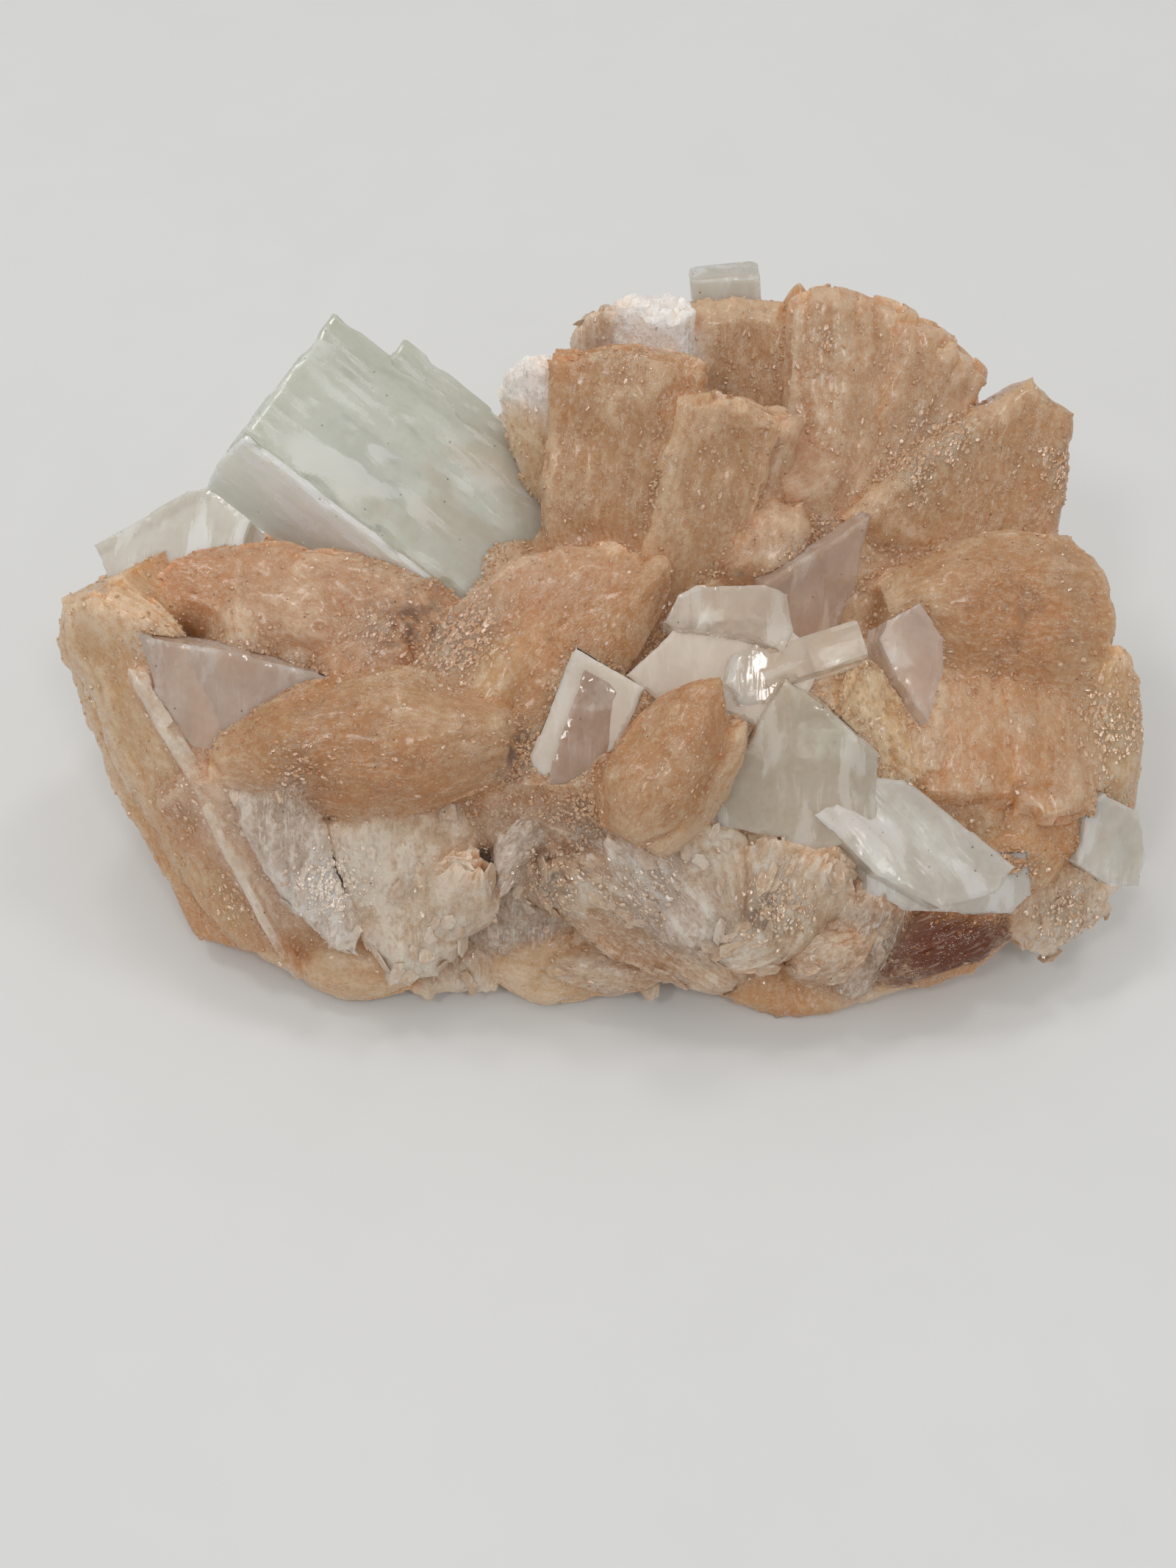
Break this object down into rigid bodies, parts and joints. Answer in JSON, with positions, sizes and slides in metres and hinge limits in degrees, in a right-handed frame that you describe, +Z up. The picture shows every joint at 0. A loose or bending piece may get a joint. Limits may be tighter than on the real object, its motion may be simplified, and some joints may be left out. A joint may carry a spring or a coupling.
{
  "type": "stilbite cluster",
  "caption": "Natural cluster of peach stilbite blades and sheaves with pale apophyllite crystals set in it, a loose mineral specimen to stand on a shelf.",
  "frame": {"origin": "a point in the middle of the flat underside that the specimen rests on", "axes": "+Z up, +X along the long side to the right as the picture shows it, +Y to the back, away from the broken front"},
  "size_m": [0.0857, 0.0516, 0.038],
  "materials": {
    "stilbite": "peach to tan translucent mineral, finely rough with small pearly glints",
    "apophyllite": "milky, pale grey-green to colourless crystal with glassy faces and white veils"
  },
  "bodies": {
    "root": {"stilbite_mass": "stilbite", "apophyllite_large": "apophyllite", "apophyllite_rear_left": "apophyllite", "apophyllite_wedge": "apophyllite", "apophyllite_crest": "apophyllite", "apophyllite_left_block": "apophyllite", "apophyllite_centre_group": "apophyllite", "apophyllite_right_edge": "apophyllite"}
  },
  "joints": []
}
